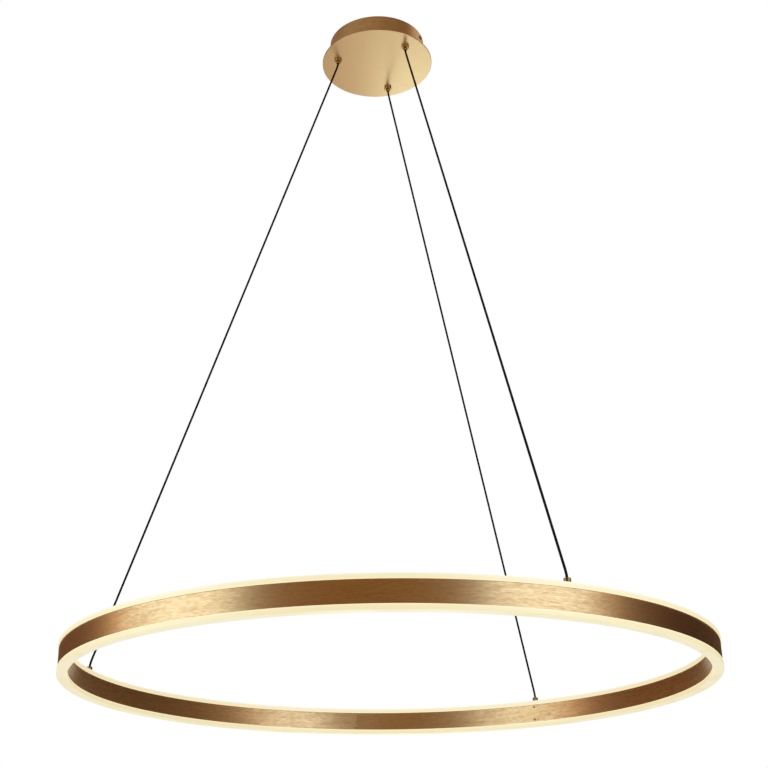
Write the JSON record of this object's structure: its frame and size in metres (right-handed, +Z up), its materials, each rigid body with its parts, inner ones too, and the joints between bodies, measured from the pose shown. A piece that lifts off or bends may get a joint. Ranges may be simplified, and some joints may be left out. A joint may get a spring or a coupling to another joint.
{
  "type": "led ring chandelier",
  "caption": "Round LED ring pendant with brushed brass bands and opal diffusers, hung by taut black cables from a round ceiling canopy with push-release cable grips.",
  "frame": {"origin": "middle of the ceiling plate's top face, where the canopy meets the ceiling", "axes": "+Z up into the ceiling, the lamp hangs to -Z; -Y is the side nearest the viewer of the picture and +X is its right; the ceiling slots lie along X"},
  "size_m": [1.0019, 1.002, 1.204],
  "materials": {
    "brushed_brass": "satin, brushed along the band and across the disc",
    "turned_brass": "satin, turned",
    "plated_steel": "zinc plated",
    "white_case": "moulded, fine texture",
    "terminal_plastic": "moulded",
    "cable_jacket": "smooth extruded jacket",
    "core_aluminium": "mill finish extrusion",
    "opal_diffuser": "opal acrylic, satin, lit from inside",
    "led_board": "white solder mask with yellow phosphor chips"
  },
  "bodies": {
    "canopy": {"cable_a": "cable_jacket", "cable_b": "cable_jacket", "cable_c": "cable_jacket", "cable_tail_a": "cable_jacket", "cable_tail_b": "cable_jacket", "cable_tail_c": "cable_jacket", "canopy_disc": "brushed_brass", "canopy_drum": "brushed_brass", "canopy_side_screws": "turned_brass", "ceiling_plate": "plated_steel", "earth_screw": "plated_steel", "grip_body_a": "turned_brass", "grip_body_b": "turned_brass", "grip_body_c": "turned_brass", "grip_cap_a": "plated_steel", "grip_cap_b": "plated_steel", "grip_cap_c": "plated_steel", "grip_locknuts": "plated_steel", "grip_spring_a": "plated_steel", "grip_spring_b": "plated_steel", "grip_spring_c": "plated_steel", "led_driver": "white_case", "mains_terminal": "terminal_plastic", "output_terminal": "terminal_plastic", "stud_nuts": "plated_steel"},
    "ring": {"anchor_barrel_a": "turned_brass", "anchor_barrel_b": "turned_brass", "anchor_barrel_c": "turned_brass", "anchor_block_a": "plated_steel", "anchor_block_b": "plated_steel", "anchor_block_c": "plated_steel", "anchor_screws": "plated_steel", "band_seam_screw": "plated_steel", "cable_end_a": "cable_jacket", "cable_end_b": "cable_jacket", "cable_end_c": "cable_jacket", "cable_ferrule_a": "plated_steel", "cable_ferrule_b": "plated_steel", "cable_ferrule_c": "plated_steel", "diffuser_bottom": "opal_diffuser", "diffuser_top": "opal_diffuser", "inner_band": "brushed_brass", "led_strip_bottom_a": "led_board", "led_strip_bottom_b": "led_board", "led_strip_bottom_c": "led_board", "led_strip_top_a": "led_board", "led_strip_top_b": "led_board", "led_strip_top_c": "led_board", "outer_band": "brushed_brass", "ring_core": "core_aluminium"},
    "plunger_a": {"grip_plunger_a": "turned_brass", "grip_balls_a": "plated_steel"},
    "plunger_b": {"grip_plunger_b": "turned_brass", "grip_balls_b": "plated_steel"},
    "plunger_c": {"grip_plunger_c": "turned_brass", "grip_balls_c": "plated_steel"}
  },
  "joints": [
    {"name": "height_adjust", "type": "slide", "parent": "canopy", "child": "ring", "axis": [0, 0, 1], "range_m": [0, 0.6], "deforming": ["cable_a", "cable_b", "cable_c"]},
    {"name": "release_a", "type": "slide", "parent": "canopy", "child": "plunger_a", "axis": [0, 0, 1], "range_m": [0, 0.002], "stiffness_N_per_m": 900, "springref_m": -0.002, "deforming": ["grip_spring_a"]},
    {"name": "release_b", "type": "slide", "parent": "canopy", "child": "plunger_b", "axis": [0, 0, 1], "range_m": [0, 0.002], "stiffness_N_per_m": 900, "springref_m": -0.002, "deforming": ["grip_spring_b"]},
    {"name": "release_c", "type": "slide", "parent": "canopy", "child": "plunger_c", "axis": [0, 0, 1], "range_m": [0, 0.002], "stiffness_N_per_m": 900, "springref_m": -0.002, "deforming": ["grip_spring_c"]}
  ]
}
